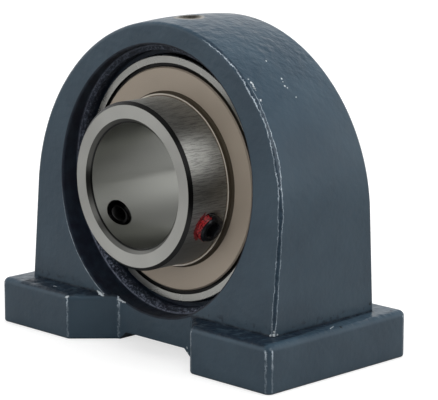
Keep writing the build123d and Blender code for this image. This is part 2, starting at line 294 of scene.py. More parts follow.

# A finer painted highlight line follows the recess's mouth at its lower left
MOUTH_RADIUS = 38.5 * MM
MOUTH_LINE_WIDTH = LINE_WIDTH / 3 * 2
MOUTH_WANDER = 0.3
MOUTH_NEARNESS = (0.35 * MM, 0.2 * MM)
MOUTH_LINE_SIDE = (-17 * MM, -18 * MM)
MOUTH_LINE_HEIGHTS = (46 * MM, 26 * MM)

mouth_distance = add(tree, radius, multiply(tree, wander, MOUTH_WANDER))
mouth_line = multiply(
    tree, band(tree, mouth_distance, MOUTH_RADIUS - MOUTH_LINE_WIDTH / 2, MOUTH_RADIUS + MOUTH_LINE_WIDTH / 2,
               LINE_SOFTNESS),
    ramp(tree, calculate(tree, "MINIMUM", from_front, from_rear), *MOUTH_NEARNESS),
    ramp(tree, side_x, *MOUTH_LINE_SIDE), ramp(tree, height, *MOUTH_LINE_HEIGHTS))

# The feet's upright corners get two painted highlight lines each, where their rounding begins and ends,
# fainter lower down
CORNER_JAG_SHADES = (0.2, 0.8)
CORNER_JAG_REACH = 0.10
CORNER_LINES = (
    # how squarely the corner looks along the shaft there: from, to, and how softly it starts and ends
    (0.89, 0.975, 0.03),
    (0.18, 0.38, 0.06),
)
CORNER_ALONG = (0.05, 0.10)
CORNER_ACROSS = (0.15, 0.22)
CORNER_UPWARD = (0.35, 0.2)
CORNER_RIGHT_SIDE = (20 * MM, 22 * MM)
CORNER_LEFT_SIDE = (-8 * MM, -10 * MM)
CORNER_FADE_HEIGHTS = (5 * MM, 12 * MM)
CORNER_FADE = (0.25, 0.85)

corner_slope = add(tree, along, ramp(tree, jags, *CORNER_JAG_SHADES, -CORNER_JAG_REACH, CORNER_JAG_REACH))
corner_lines = multiply(
    tree, any_of(tree, *[band(tree, corner_slope, *line) for line in CORNER_LINES]),
    ramp(tree, along, *CORNER_ALONG), ramp(tree, across, *CORNER_ACROSS), ramp(tree, upward, *CORNER_UPWARD),
    any_of(tree, ramp(tree, side_x, *CORNER_RIGHT_SIDE), ramp(tree, side_x, *CORNER_LEFT_SIDE)),
    ramp(tree, height, FOOT_HEIGHT, FOOT_HEIGHT - FOOT_SOFTNESS),
    ramp(tree, height, *CORNER_FADE_HEIGHTS, *CORNER_FADE))

# All these painted highlight lines are broken up, and come and go in patches
HIGHLIGHT_PATCHES = 2.5 * MM
HIGHLIGHT_PATCH_SHADES = (0.34, 0.62)
LEAST_HIGHLIGHT = 0.30
BROKEN_SHADES = (0.26, 0.42)

highlight_noise = noise(tree, from_base, HIGHLIGHT_PATCHES, detail=2.0)
edge_highlights = multiply(
    tree, any_of(tree, edge_lines, mouth_line, corner_lines), ramp(tree, jags, *BROKEN_SHADES),
    ramp(tree, highlight_noise, *HIGHLIGHT_PATCH_SHADES, LEAST_HIGHLIGHT, 1.0))

# Pale spots are partly chips and beads of dry paint and partly painted glints, and pits at the foot of the
# body are dark
PALE_CHIPS_AND_GLINTS = (0.62, 0.68, 0.72, 1)
PAINT_PITTED = (0.002, 0.002, 0.004, 1)
SPOT_GRAIN = 0.45 * MM
SPOT_RAGGEDNESS = 2.4
SPOT_EDGES = (2.1, 1.7)
CHIP_AND_GLINT_SPOTS = (
    # place on the casting and radius, in millimetres: along the arch's front edge, on its crown, on the feet,
    # and where they meet the body
    ((16.7, -14.1, 88.4), 0.26),
    ((32.4, -12.9, 79.4), 0.26),
    ((33.4, -12.7, 78.5), 0.42),
    ((33.8, -12.7, 78.0), 0.50),
    ((34.2, -12.8, 77.5), 0.54),
    ((34.6, -12.9, 77.0), 0.50),
    ((35.0, -13.0, 76.5), 0.40),
    ((35.4, -13.1, 76.0), 0.30),
    ((37.2, -13.2, 74.2), 0.56),
    ((37.9, -13.4, 73.2), 0.30),
    ((29.0, -2.6, 82.9), 0.34),
    ((34.2, -1.9, 78.5), 0.34),
    ((34.9, -2.2, 77.8), 0.26),
    ((35.9, -2.4, 76.8), 0.36),
    ((36.3, -1.9, 76.3), 0.26),
    ((38.4, -0.7, 73.9), 0.36),
    ((-34.9, -23.9, 13.3), 0.36),
    ((-34.2, -23.7, 13.3), 0.34),
    ((-25.7, -27.3, 12.2), 0.56),
    ((-25.2, -27.2, 12.5), 0.50),
    ((-24.6, -26.9, 12.9), 0.44),
    ((-20.5, -20.0, 13.6), 0.44),
    ((-19.9, -20.0, 13.4), 0.54),
    ((-19.3, -20.0, 13.2), 0.70),
    ((-18.7, -20.0, 13.0), 0.66),
    ((-18.1, -20.0, 12.9), 0.56),
    ((-14.6, -17.1, 11.7), 0.46),
    ((-14.0, -17.1, 11.6), 0.54),
    ((-13.4, -17.0, 11.4), 0.50),
    ((-12.8, -17.0, 11.3), 0.40),
    ((-12.2, -17.0, 11.3), 0.34),
    ((53.0, -2.2, 13.2), 0.36),
    ((52.7, -1.4, 13.25), 0.40),
    ((52.4, -0.6, 13.3), 0.36),
    ((13.1, -17.0, 2.9), 0.40),
    ((13.4, -17.0, 1.6), 0.40),
    ((49.2, -18.6, 13.9), 0.40),
    ((48.7, -19.6, 13.9), 0.54),
    ((47.8, -20.0, 13.8), 0.44),
    ((48.6, -19.5, 14.8), 0.40),
)
PAINT_PITS = (
    # place on the casting and radius, in millimetres: on the feet and low on the body
    ((52.3, 23.2, 13.3), 0.60),
    ((49.0, 18.2, 15.6), 0.50),
    ((53.5, 1.3, 13.1), 0.60),
    ((-31.0, -17.6, 15.6), 0.50),
    ((-29.0, -17.6, 16.4), 0.40),
    ((-24.0, -17.5, 16.6), 0.40),
    ((-27.5, -24.0, 13.3), 0.50),
    ((-22.5, -21.0, 13.3), 0.50),
)


def ragged_spots(tree, places, grain):
    """A mask of small ragged spots, from their places and radii in millimetres."""
    spots = 0.0
    for place, spot_radius in places:
        distance = length(tree, coordinates(tree, Vector(place) * MM))
        ragged = add(tree, distance, multiply(tree, grain, SPOT_RAGGEDNESS * spot_radius * MM))
        outer_edge, inner_edge = [reach * spot_radius * MM for reach in SPOT_EDGES]
        spots = any_of(tree, spots, ramp(tree, ragged, outer_edge, inner_edge))
    return spots


spot_grain = noise(tree, from_base, SPOT_GRAIN, roughness=0.7)
# Pale spots: partly chips of paint and partly painted glints
chips_and_glints = ragged_spots(tree, CHIP_AND_GLINT_SPOTS, spot_grain)
pits = ragged_spots(tree, PAINT_PITS, spot_grain)

# Bare iron in the seat, under the base, in its holes, and round the mouth of the port
IRON_DARK = (0.16, 0.15, 0.13, 1)
IRON_LIGHT = (0.42, 0.40, 0.36, 1)
IRON_MOTTLE = 1.2 * MM
SEAT_MARGIN = MM / 2
BASE_SKIN = MM / 50
HOLE_MARGIN = 1.6 * MM
HOLE_TOP = 24 * MM
LOOKS_UP = 0.5
PORT_EDGES = (0.5 * MM, 0.1 * MM)
PORT_WOBBLE = 1.6 * MM
PORT_WOBBLE_REACH = -2.4 * MM

in_seat = multiply(tree, calculate(tree, "LESS_THAN", radius, seat_radius + SEAT_MARGIN),
                   calculate(tree, "LESS_THAN", depth, BARE_SEAT_WIDTH / 2))
under_base = calculate(tree, "LESS_THAN", height, BASE_SKIN)
port_distance = add(tree, multiply(tree, noise(tree, from_base, PORT_WOBBLE), PORT_WOBBLE_REACH),
                    length(tree, coordinates(tree, (port_x, port_y, 0), (1, 1, 0))))
at_port = multiply(tree, ramp_from(tree, port_distance, port_radius, PORT_EDGES),
                   calculate(tree, "GREATER_THAN", height, port_z - port_length / 2))
bare = any_of(tree, in_seat, under_base, at_port)
for side in (-1, 1):
    hole_distance = length(tree, coordinates(tree, (side * bolt_spacing / 2, 0, 0), (1, 1, 0)))
    bare = any_of(tree, bare, multiply(
        tree, calculate(tree, "LESS_THAN", hole_distance, bolt_hole_radius + HOLE_MARGIN),
        calculate(tree, "LESS_THAN", height, HOLE_TOP), calculate(tree, "LESS_THAN", facing[2], LOOKS_UP)))

# Painted shade darkens the recess, whose spray is lumpy, and its lumps carry painted highlights, lighter low
# down, with a painted highlight line along the recess's outer corner. Painted shade also lies at the foot of the
# body, where the spray ran together in a puddle that is widest at the front right, and darkens that puddle.
PAINT_DARK = (0.026, 0.049, 0.072, 1)
PAINT_LIGHT = (0.036, 0.064, 0.090, 1)
RECESS_SHADE = (0.004, 0.006, 0.015, 1)
LUMP_HIGHLIGHT = (0.36, 0.40, 0.52, 1)
PUDDLE_SHADE = (0.005, 0.012, 0.022, 1)
PAINT_CLOUDS = 14 * MM
SPRAY_CLOTS = 3 * MM
RECESS_SHADE_SHARES = (0.75, 1.0)
PUDDLE_ALONG = (-20 * MM, 18 * MM)
PUDDLE_WIDTHS = (3.6 * MM, 1.2 * MM)
PUDDLE_ACROSS = (-10 * MM, 10 * MM)
PUDDLE_SIDES = (-0.6, 1.0)
PUDDLE_FRONT = (-8.0 * MM, -6.5 * MM)
PUDDLE_LOW = 0.7 * MM
PUDDLE_HIGH = 0.5 * MM
PUDDLE_SOFTNESS = 0.3 * MM
PUDDLE_SHADES = (0.3, 0.55)
PUDDLE_SHARES = (0.5, 1.0)
FOOT_SHADE_HEIGHT = 2.5 * MM
FOOT_SHADE_SPOTS = 1.8 * MM
FOOT_SHADE_NOISE = (0.55, 0.66)
FOOT_SHADE_SHARE = 0.8
LUMP_SIZE = 0.85 * MM
LUMP_WALL = (-0.1 * MM, -0.4 * MM)
LUMP_DEPTHS = (8.6 * MM, 10.4 * MM)
LUMP_SHADES = (0.47, 0.70)
RECESS_CORNER_REACH = (-0.7 * MM, -0.4 * MM)
RECESS_CORNER_NOISE = (0.3, 0.6)
RECESS_CORNER_SHARE = 0.6
LUMP_LIGHT_HEIGHTS = (25 * MM, 60 * MM)
LUMP_LIGHT_HIGH_SHARE = 0.4

clots = noise(tree, from_base, SPRAY_CLOTS)
# Painted shade darkens the recess
recess_shade = multiply(tree, in_recess, ramp(tree, clots, *MOST_SHADES, *RECESS_SHADE_SHARES))
# Painted shade darkens the puddle on the foot's top beside the body
puddle_width = multiply(tree, ramp(tree, side_y, *PUDDLE_ALONG, *PUDDLE_WIDTHS),
                        ramp(tree, side_x, *PUDDLE_ACROSS, *PUDDLE_SIDES))
puddle_and_shade = multiply(
    tree, ramp(tree, add(tree, from_arch, wander, puddle_width), 0, MM),
    ramp(tree, from_front, *PUDDLE_FRONT), ramp(tree, from_rear, 0, MM),
    ramp(tree, clots, *PUDDLE_SHADES, *PUDDLE_SHARES),
    band(tree, height, FOOT_HEIGHT - PUDDLE_LOW, FOOT_HEIGHT + PUDDLE_HIGH, PUDDLE_SOFTNESS))
# Painted shade in the corner where the body meets the feet
foot_shade = multiply(tree, band(tree, height, FOOT_HEIGHT, FOOT_HEIGHT + FOOT_SHADE_HEIGHT, MM),
                ramp(tree, noise(tree, from_base, FOOT_SHADE_SPOTS), *FOOT_SHADE_NOISE, 0.0, FOOT_SHADE_SHARE))
lumps = noise(tree, from_base, LUMP_SIZE, detail=6.0, roughness=0.8)
lumpy = multiply(tree, in_recess, ramp_from(tree, radius, RECESS_RADIUS, LUMP_WALL),
                 ramp(tree, depth, *LUMP_DEPTHS))
# Painted highlight line along the recess's outer corner, and painted highlights on its lumps, lighter low down
recess_corner_highlight = multiply(tree, ramp_from(tree, radius, RECESS_RADIUS, RECESS_CORNER_REACH),
                        ramp(tree, jags, *RECESS_CORNER_NOISE, 0, RECESS_CORNER_SHARE))
lump_highlights = multiply(tree, lumpy, any_of(tree, ramp(tree, lumps, *LUMP_SHADES), recess_corner_highlight),
                      ramp(tree, height, *LUMP_LIGHT_HEIGHTS, 1.0, LUMP_LIGHT_HIGH_SHARE))
clouds = ramp(tree, noise(tree, from_base, PAINT_CLOUDS), *MOST_SHADES)
# One dark colour for the painted shade at the foot of the body and the painted dark reflection on the edge
dark_shading = any_of(tree, foot_shade, edge_dark_reflection)
iron = blend_colours(tree, noise(tree, from_base, IRON_MOTTLE, detail=4.0), IRON_DARK, IRON_LIGHT)
join(tree, finish["Base Color"], coat(
    tree, PAINT_DARK, (clouds, PAINT_LIGHT), (recess_shade, RECESS_SHADE), (dark_shading, PAINTED_DARK),
    (puddle_and_shade, PUDDLE_SHADE), (pits, PAINT_PITTED), (lump_highlights, LUMP_HIGHLIGHT), (edge_highlights, EDGE_HIGHLIGHT),
    (chips_and_glints, PALE_CHIPS_AND_GLINTS), (bare, iron)))
join(tree, finish["Metallic"], bare)

# The enamel's satin shine, and the waves, orange peel and grain of the cast skin under it
SHINE_CLOUDS = 3.5 * MM
SHINE_ROUGHNESS = (0.30, 0.42)
DULL_ROUGHNESS = 0.6
CAST_WAVE = 2.4 * MM
CAST_WAVE_DEPTH = 0.45 * MM
CAST_WAVE_SLOPES = (0.5, 0.85)
CAST_WAVE_ON_SIDES = 0.35
ORANGE_PEEL = 0.9 * MM
ORANGE_PEEL_DEPTH = 0.02 * MM
ORANGE_PEEL_STRENGTH = 0.6
CAST_GRAIN = 0.35 * MM
CAST_GRAIN_DEPTH = 0.02 * MM
CAST_GRAIN_STRENGTH = 0.25
CHIP_DEPTH = 0.15 * MM
PUDDLE_DEPTH = 0.8 * MM
LUMP_DEPTH = 0.6 * MM

shine = ramp(tree, noise(tree, from_base, SHINE_CLOUDS, detail=4.0), *MOST_SHADES, *SHINE_ROUGHNESS)
dull = multiply(tree, any_of(tree, puddle_and_shade, pits, in_recess), DULL_ROUGHNESS)
join(tree, finish["Roughness"], calculate(tree, "MAXIMUM", shine, dull))
cast_wave_strength = ramp(tree, facing[2], *CAST_WAVE_SLOPES, CAST_WAVE_ON_SIDES, 1.0)
join(tree, finish["Normal"], relief(
    tree,
    (noise(tree, from_base, CAST_WAVE), CAST_WAVE_DEPTH, cast_wave_strength),
    (noise(tree, from_base, ORANGE_PEEL, detail=2.0), ORANGE_PEEL_DEPTH, ORANGE_PEEL_STRENGTH),
    (noise(tree, from_base, CAST_GRAIN), CAST_GRAIN_DEPTH, CAST_GRAIN_STRENGTH),
    (chips_and_glints, CHIP_DEPTH, 1.0),
    (clots, PUDDLE_DEPTH, puddle_and_shade),
    (lumps, LUMP_DEPTH, lumpy)))
dress("housing", enamel)


# ---- Threads in the housing ----
# The base holes are tapped M14 x 2, and the grease port 1/4 inch x 28. The taps leave bright bare iron, which
# is mottled with dark cutting oil.
THREAD_DARK = (0.05, 0.04, 0.03, 1)
THREAD_BRIGHT = (0.55, 0.50, 0.42, 1)
THREAD_MOTTLE = 0.5 * MM
THREAD_MOTTLE_DEPTH = 0.01 * MM
THREAD_ROUGHNESS = (0.35, 0.6)
BASE_PITCH = 2.0 * MM
BASE_MINOR = 5.6 * MM
BASE_THREAD_START = 2.0 * MM
BASE_THREAD_LENGTH = 18.0 * MM
PORT_PITCH = 0.907 * MM
PORT_CREST = 0.3 * MM
THREAD_SIDES = 48
# A third of the pitch is squeezed by this to the crest's eighth
CREST_SQUEEZE = 3 / 8
SLEEVE_WALL = 0.4 * MM
TAP_ROOM = 0.05 * MM
SLEEVE_SMOOTHING = 30
WELD_REACH = MM / 1000
CUT_FINENESS = MM / 10000


def take_up(piece):
    """Selects a piece, and it alone, and makes it the active one."""
    bpy.ops.object.select_all(action="DESELECT")
    piece.select_set(True)
    bpy.context.view_layer.objects.active = piece


def edit(piece):
    """Opens a piece in edit mode, alone, with all of it selected."""
    take_up(piece)
    bpy.ops.object.mode_set(mode="EDIT")
    bpy.ops.mesh.select_all(action="SELECT")


def select_where(piece, chosen):
    """Selects just the vertices whose places pass a test, and leaves the piece in edit mode."""
    bpy.ops.mesh.select_all(action="DESELECT")
    bpy.ops.object.mode_set(mode="OBJECT")
    for vertex in piece.data.vertices:
        vertex.select = chosen(vertex.co)
    bpy.ops.object.mode_set(mode="EDIT")


def cut_flat(place, normal, **sides):
    """Cuts the piece that is being edited along a plane, and caps it there."""
    bpy.ops.mesh.select_all(action="SELECT")
    bpy.ops.mesh.bisect(plane_co=place, plane_no=normal, use_fill=True, threshold=CUT_FINENESS, **sides)


def apply_modifier(piece, kind, **settings):
    bpy.context.view_layer.objects.active = piece
    modifier = piece.modifiers.new(kind.lower(), kind)
    for name, value in settings.items():
        setattr(modifier, name, value)
    bpy.ops.object.modifier_apply(modifier=modifier.name)


def combine(piece, other, operation):
    """Cuts a piece with another, or keeps what they share, and discards the other."""
    apply_modifier(piece, "BOOLEAN", operation=operation, object=other, solver="EXACT")
    bpy.data.objects.remove(other)


def settle(piece):
    """Puts a new primitive's place, turn and scale into its mesh."""
    take_up(piece)
    bpy.ops.object.transform_apply(location=True, rotation=True, scale=True)


def cylinder(name, cylinder_radius, low, high, sides=THREAD_SIDES, top_radius=None):
    """A round bar about Z, between two heights, or a cone where the top has its own radius."""
    if top_radius is None:
        top_radius = cylinder_radius
    bpy.ops.object.select_all(action="DESELECT")
    bpy.ops.mesh.primitive_cone_add(
        vertices=sides, radius1=cylinder_radius, radius2=top_radius, depth=high - low,
        location=(0, 0, (low + high) / 2))
    bar = bpy.context.object
    bar.name = name
    settle(bar)
    return bar


def threaded_bar(name, minor, major, pitch, low, high):
    """A screw thread about Z: one pitch of its outline, wound into a helix and cut flush at both ends."""
    bpy.ops.object.select_all(action="DESELECT")
    first_turn = math.floor(low / pitch) - 1
    turns = math.ceil(high / pitch) + 1 - first_turn
    middle = first_turn * pitch
    bpy.ops.mesh.primitive_plane_add(
        size=pitch, location=(minor + pitch / 2, 0, middle), rotation=(math.pi / 2, 0, 0))
    bar = bpy.context.object
    bar.name = name
    settle(bar)
    edit(bar)
    select_where(bar, lambda place: place.x > minor + pitch / 2)
    bpy.ops.mesh.delete(type="VERT")
    bpy.ops.mesh.select_all(action="SELECT")
    bpy.ops.mesh.subdivide(number_cuts=2)
    select_where(bar, lambda place: abs(place.z - middle) < pitch / 4)
    bpy.ops.transform.translate(value=(major - minor, 0, 0))
    bpy.ops.transform.resize(value=(1, 1, CREST_SQUEEZE), center_override=(major, 0, middle))
    bpy.ops.object.mode_set(mode="OBJECT")
    apply_modifier(bar, "SCREW", screw_offset=pitch, iterations=turns, steps=THREAD_SIDES,
                   render_steps=THREAD_SIDES, use_smooth_shade=False, use_merge_vertices=False)
    edit(bar)
    bpy.ops.mesh.remove_doubles(threshold=WELD_REACH)
    cut_flat((0, 0, low), (0, 0, 1), clear_inner=True)
    cut_flat((0, 0, high), (0, 0, 1), clear_outer=True)
    bpy.ops.mesh.select_all(action="SELECT")
    bpy.ops.mesh.normals_make_consistent(inside=False)
    bpy.ops.object.mode_set(mode="OBJECT")
    return bar


def smooth(piece, degrees):
    take_up(piece)
    bpy.ops.object.shade_smooth_by_angle(angle=math.radians(degrees))


def tapped_sleeve(name, hole_radius, crest_radius, pitch, place, low, high):
    """The threaded skin of a tapped hole, let into the iron round it."""
    sleeve = cylinder(name, hole_radius + SLEEVE_WALL, low, high)
    tap = threaded_bar("tap", crest_radius, hole_radius + TAP_ROOM, pitch, low - pitch, high + pitch)
    combine(sleeve, tap, "DIFFERENCE")
    sleeve.data.transform(Matrix.Translation(place))
    smooth(sleeve, SLEEVE_SMOOTHING)
    sleeve.data.materials.append(bare_iron)
    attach(sleeve, "housing")


bare_iron, tree, finish = new_material("tapped_iron")
mottle = noise(tree, coordinates(tree), THREAD_MOTTLE, detail=4.0)
join(tree, finish["Base Color"], blend_colours(tree, mottle, THREAD_DARK, THREAD_BRIGHT))
finish["Metallic"].default_value = 1
join(tree, finish["Roughness"], ramp(tree, mottle, *MOST_SHADES, *THREAD_ROUGHNESS))
join(tree, finish["Normal"], relief(tree, (mottle, THREAD_MOTTLE_DEPTH, 1.0)))
for side, name in ((-1, "left_base_thread"), (1, "right_base_thread")):
    tapped_sleeve(name, bolt_hole_radius, BASE_MINOR, BASE_PITCH, Vector((side * bolt_spacing / 2, 0, 0)),
                  BASE_THREAD_START, BASE_THREAD_START + BASE_THREAD_LENGTH)
tapped_sleeve("port_thread", port_radius, port_radius - PORT_CREST, PORT_PITCH, Vector((port_x, port_y, 0)),
              port_z - port_length / 2, port_z + port_length / 2)


# ---- Outer ring ----
# Through-hardened bearing steel, ground to a sphere outside. Its flat ends show fine turned rings. Painted shade
# darkens the bore beside each seal and the sphere outside the seat, where they lie in narrow gaps.
STEEL = (0.56, 0.56, 0.53, 1)
STEEL_DARK = (0.46, 0.46, 0.435, 1)
GAP_SHADE = (0.012, 0.011, 0.010, 1)
OUTER_ROUGHNESS = (0.22, 0.32)
TURNING_PITCH = 0.10 * MM
TURNING_DEPTH = 0.0015 * MM
CHATTER_WIDTH = 0.40 * MM
CHATTER_STRETCH = 0.04
STEEL_CLOUDS = 9 * MM
QUARTER_TURN = 0.25
CYLINDER_SLOPES = (0.5, 0.2)
GAP_SHADE_MARGIN = 0.12 * MM


def sideways(tree):
    """How squarely the surface looks along the shaft, either way."""
    return calculate(tree, "ABSOLUTE", facings(tree)[1])


def ground_metal(name, light, dark, roughness, chatter=0.0, turning=TURNING_DEPTH, brushed=0.0):
    """A metal with chatter lines along its cylinders and turned rings on its ends.

    Brushed marks run round the shaft's axis, so they draw each highlight out along the shaft. The last two
    results are the distance from that axis and the colour so far.
    """
    material, tree, finish = new_material(name)
    centre = (0, 0, axis_height)
    radius = shaft_distance(tree)
    turned = add_node(tree, "ShaderNodeCombineXYZ", {0: radius})[0]
    rings = noise(tree, turned, TURNING_PITCH, roughness=0.6)
    chatter_place = coordinates(tree, centre, (1, CHATTER_STRETCH, 1))
    chatter_lines = noise(tree, chatter_place, CHATTER_WIDTH, detail=4.0, roughness=0.7)
    clouds = noise(tree, coordinates(tree, centre), STEEL_CLOUDS, detail=1.0)
    colour = blend_colours(tree, clouds, dark, light)
    join(tree, finish["Base Color"], colour)
    finish["Metallic"].default_value = 1
    finish["Anisotropic"].default_value = brushed
    finish["Anisotropic Rotation"].default_value = QUARTER_TURN
    join(tree, finish["Tangent"], add_node(
        tree, "ShaderNodeTangent", {}, direction_type="RADIAL", axis="Y")[0])
    join(tree, finish["Roughness"], ramp(tree, clouds, *MOST_SHADES, *roughness))
    join(tree, finish["Normal"], relief(
        tree, (rings, turning, 1.0),
        (chatter_lines, chatter, ramp(tree, sideways(tree), *CYLINDER_SLOPES))))
    return material, tree, finish, radius, colour


outer_steel, tree, finish, radius, colour = ground_metal(
    "outer_ring_steel", STEEL, STEEL_DARK, OUTER_ROUGHNESS)
face_radius = math.sqrt(seat_radius ** 2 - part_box("outer_ring")[1].y ** 2)
# Painted shade in the narrow gaps beside each seal and round the seat
beside_seal = calculate(tree, "LESS_THAN", radius, box_radius("seal_case_front") + GAP_SHADE_MARGIN)
on_sphere = multiply(
    tree, calculate(tree, "GREATER_THAN", radius, face_radius + GAP_SHADE_MARGIN),
    calculate(tree, "GREATER_THAN", calculate(tree, "ABSOLUTE", components(tree, coordinates(tree))[1]),
              BARE_SEAT_WIDTH / 2))
join(tree, finish["Base Color"], coat(tree, colour, (any_of(tree, beside_seal, on_sphere), GAP_SHADE)))
dress("outer_ring", outer_steel)


# ---- Cage and balls ----
# Nine lapped balls of bearing steel run in a two-piece ribbon cage. Its halves are pressed from steel strip
# and riveted together between the balls.
CAGE_LIGHT = (0.50, 0.50, 0.48, 1)
CAGE_DARK = (0.38, 0.38, 0.37, 1)
CAGE_ROUGHNESS = (0.25, 0.40)
BALL_LIGHT = (0.66, 0.66, 0.65, 1)
BALL_DARK = (0.62, 0.62, 0.61, 1)
BALL_ROUGHNESS = (0.03, 0.06)

cage_steel = ground_metal("cage_steel", CAGE_LIGHT, CAGE_DARK, CAGE_ROUGHNESS)[0]
ball_steel = ground_metal("ball_steel", BALL_LIGHT, BALL_DARK, BALL_ROUGHNESS, turning=0)[0]
for node in frame["nodes"]:
    if node.startswith("cage_"):
        dress(node, cage_steel)
    if node.startswith("ball_"):
        dress(node, ball_steel)


# ---- Seals ----
# A steel shield is crimped into each end of the outer ring and phosphated dark. It carries a lip of nitrile
# rubber, which runs on the inner ring.
SHIELD_LIGHT = (0.05, 0.05, 0.05, 1)
SHIELD_DARK = (0.03, 0.03, 0.03, 1)
SHIELD_ROUGHNESS = (0.4, 0.6)
RUBBER_DARK = (0.010, 0.010, 0.011, 1)
RUBBER_LIGHT = (0.024, 0.024, 0.026, 1)
RUBBER_GRAIN = 0.25 * MM
RUBBER_GRAIN_DEPTH = 0.02 * MM
RUBBER_SHADES = (0.2, 0.8)
RUBBER_ROUGHNESS = (0.55, 0.8)

shield_steel = ground_metal("shield_steel", SHIELD_LIGHT, SHIELD_DARK, SHIELD_ROUGHNESS)[0]
seal_rubber, tree, finish = new_material("seal_rubber")
grain = noise(tree, coordinates(tree), RUBBER_GRAIN)
join(tree, finish["Base Color"], blend_colours(tree, grain, RUBBER_DARK, RUBBER_LIGHT))
join(tree, finish["Roughness"], ramp(tree, grain, *RUBBER_SHADES, *RUBBER_ROUGHNESS))
join(tree, finish["Normal"], relief(tree, (grain, RUBBER_GRAIN_DEPTH, 1.0)))
for end in ("front", "rear"):
    dress("seal_case_" + end, shield_steel)
    dress("seal_lip_" + end, seal_rubber)


# ---- Inner ring ----
# The same steel, ground inside and out. The wheel leaves short fine lines along the shaft on its nose. The
# chamfers, which it doesn't reach, are dark, partly the scale of hardening and partly painted dark reflection, and
# the bore's chamfer is darker towards the top. Painted shade darkens the nose towards the bottom. Thread lock was
# squeezed out beside the set screws.
SCALE_AND_SHADE_DARK = (0.035, 0.035, 0.035, 1)
WHEEL_AND_LOW_NOSE_SHADE = (0.23, 0.23, 0.22, 1)
BORE_SHADE = (0.38, 0.385, 0.36, 1)
CHAMFER_SCALE_AND_SHADE = (0.075, 0.075, 0.070, 1)
BORE_ROUGHNESS = 0.30
NOSE_ROUGHNESS = 0.45
NOSE_CHATTER = 0.020 * MM
NOSE_BRUSHING = 0.9
NOSE_SLOPES = (0.3, 0.1)
NOSE_SKIN = (-MM, -MM / 2)
WHEEL_LINE_WIDTH = 0.22 * MM
WHEEL_LINE_STRETCH = 0.045
WHEEL_LINE_SHADES = (0.46, 0.58)
WHEEL_LINE_SHARE = 0.85
LOW_NOSE_HEIGHTS = (-6 * MM, -16 * MM)
LOW_NOSE_SHARE = 0.85
BORE_SKIN = (MM / 5, MM / 10)
CHAMFER_SLOPES = (0.3, 0.9, 0.05)
CHAMFER_INSIDE = (-MM, -1.5 * MM)
CHAMFER_HEIGHTS = (-12 * MM, -4 * MM)
CHAMFER_SHARES = (0.55, 0.9)
BORE_CORNER = (0.45 * MM, 0.3 * MM)
LOCK_RED = (0.38, 0.016, 0.020, 1)
LOCK_DARK = (0.07, 0.006, 0.008, 1)
LOCK_STREAKS = 0.6 * MM
LOCK_STREAK_SHADES = (0.35, 0.6)
SMEAR_RAGGEDNESS = 1.6 * MM
SMEAR_EDGES = (1.9 * MM, 1.6 * MM)
SMEAR_FRONT = (-1.6 * MM, -2.4 * MM)

joints = {joint["name"]: joint for joint in frame["joints"]}


def shaft_radii(node, end=math.inf):
    """How far a piece's corners are from the shaft's axis, up to a place along it."""
    return [math.hypot(vertex.co.x, vertex.co.z - axis_height)
            for vertex in frame["nodes"][node].data.vertices if vertex.co.y < end]


def along_direction(tree, vector, direction):
    return add_node(
        tree, "ShaderNodeVectorMath", {0: vector, 1: direction}, operation="DOT_PRODUCT")["Value"]


def screw_seat(side):
    """Where a set screw's axis starts on the shaft's, which way it points, and its thread's outer radius."""
    low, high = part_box("set_screw_" + side)
    outward = Vector(joints["set_screw_" + side + "_travel"]["axis"]).normalized()
    return Vector((0, (low.y + high.y) / 2, axis_height)), outward, (high.y - low.y) / 2


def lock_colour(tree, streaks):
    return blend_colours(tree, ramp(tree, streaks, *LOCK_STREAK_SHADES), LOCK_DARK, LOCK_RED)


inner_steel, tree, finish, radius, colour = ground_metal(
    "inner_ring_steel", STEEL, STEEL_DARK, (BORE_ROUGHNESS, NOSE_ROUGHNESS), NOSE_CHATTER,
    brushed=NOSE_BRUSHING)
nose_radius = box_radius("inner_ring")
bore_radius = min(shaft_radii("inner_ring"))
height = components(tree, coordinates(tree, (0, 0, axis_height)))[2]
slope = sideways(tree)
on_nose = multiply(tree, ramp(tree, slope, *NOSE_SLOPES), ramp_from(tree, radius, nose_radius, NOSE_SKIN))
wheel_place = coordinates(tree, (0, 0, axis_height), (1, WHEEL_LINE_STRETCH, 1))
wheel_lines = multiply(tree, on_nose, ramp(
    tree, noise(tree, wheel_place, WHEEL_LINE_WIDTH, detail=5.0, roughness=0.75),
    *WHEEL_LINE_SHADES, 0.0, WHEEL_LINE_SHARE))
# Painted shade darkens the nose towards the bottom
low_nose_shade = multiply(tree, on_nose, ramp(tree, height, *LOW_NOSE_HEIGHTS, 0.0, LOW_NOSE_SHARE))
in_bore = ramp_from(tree, radius, bore_radius, BORE_SKIN)
# The chamfers' dark is partly the scale of hardening and partly painted dark reflection
on_chamfer = band(tree, slope, *CHAMFER_SLOPES)
inside = ramp_from(tree, radius, nose_radius, CHAMFER_INSIDE)
bore_chamfer = multiply(tree, on_chamfer, inside, ramp(tree, height, *CHAMFER_HEIGHTS, *CHAMFER_SHARES))
bore_corner = multiply(tree, on_chamfer, ramp_from(tree, radius, bore_radius, BORE_CORNER))
nose_chamfer = multiply(tree, on_chamfer, calculate(tree, "SUBTRACT", 1, inside))

